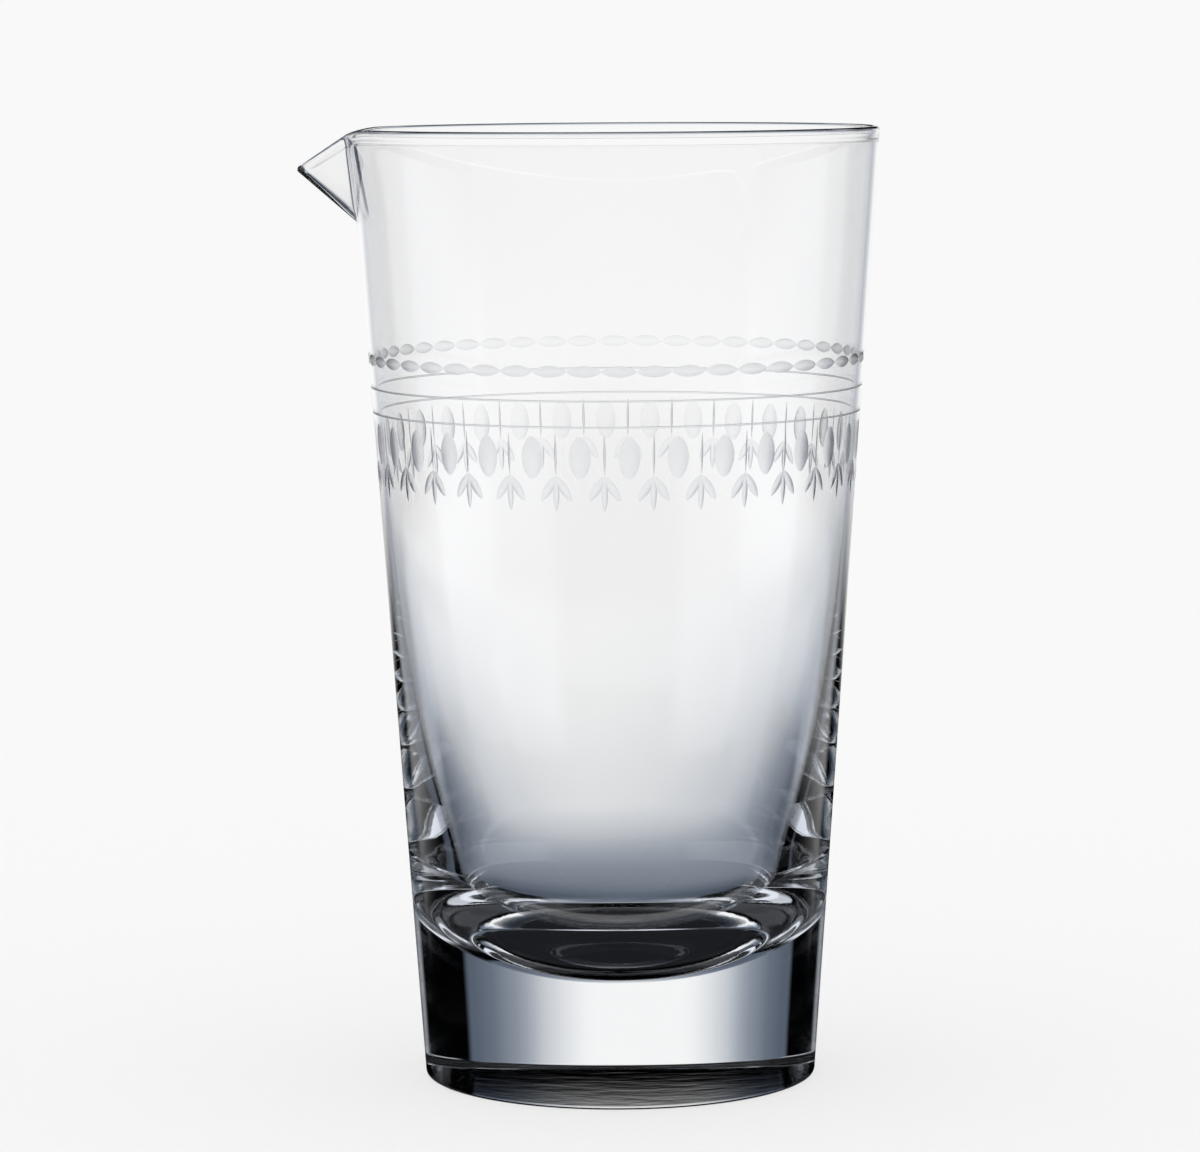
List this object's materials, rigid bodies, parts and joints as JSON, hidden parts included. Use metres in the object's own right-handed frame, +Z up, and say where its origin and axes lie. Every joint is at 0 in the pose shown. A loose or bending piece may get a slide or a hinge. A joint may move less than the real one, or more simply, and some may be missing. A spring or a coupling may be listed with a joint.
{
  "type": "cocktail mixing glass",
  "caption": "Tall tapered clear-glass jug with a heavy solid base, a fire-polished rim and a small pulled pouring lip, for stirring and pouring cocktails.",
  "frame": {"origin": "centre of the foot's flat underside", "axes": "+Z up along the axis of the glass, -X towards the pouring lip"},
  "size_m": [0.0974, 0.0884, 0.16],
  "materials": {
    "crystal": "fire-polished clear crystal with a wheel-engraved frosted band"
  },
  "bodies": {
    "root": {"heavy_base": "crystal", "tapered_bowl": "crystal", "rim_collar": "crystal", "pouring_lip": "crystal"}
  },
  "joints": []
}
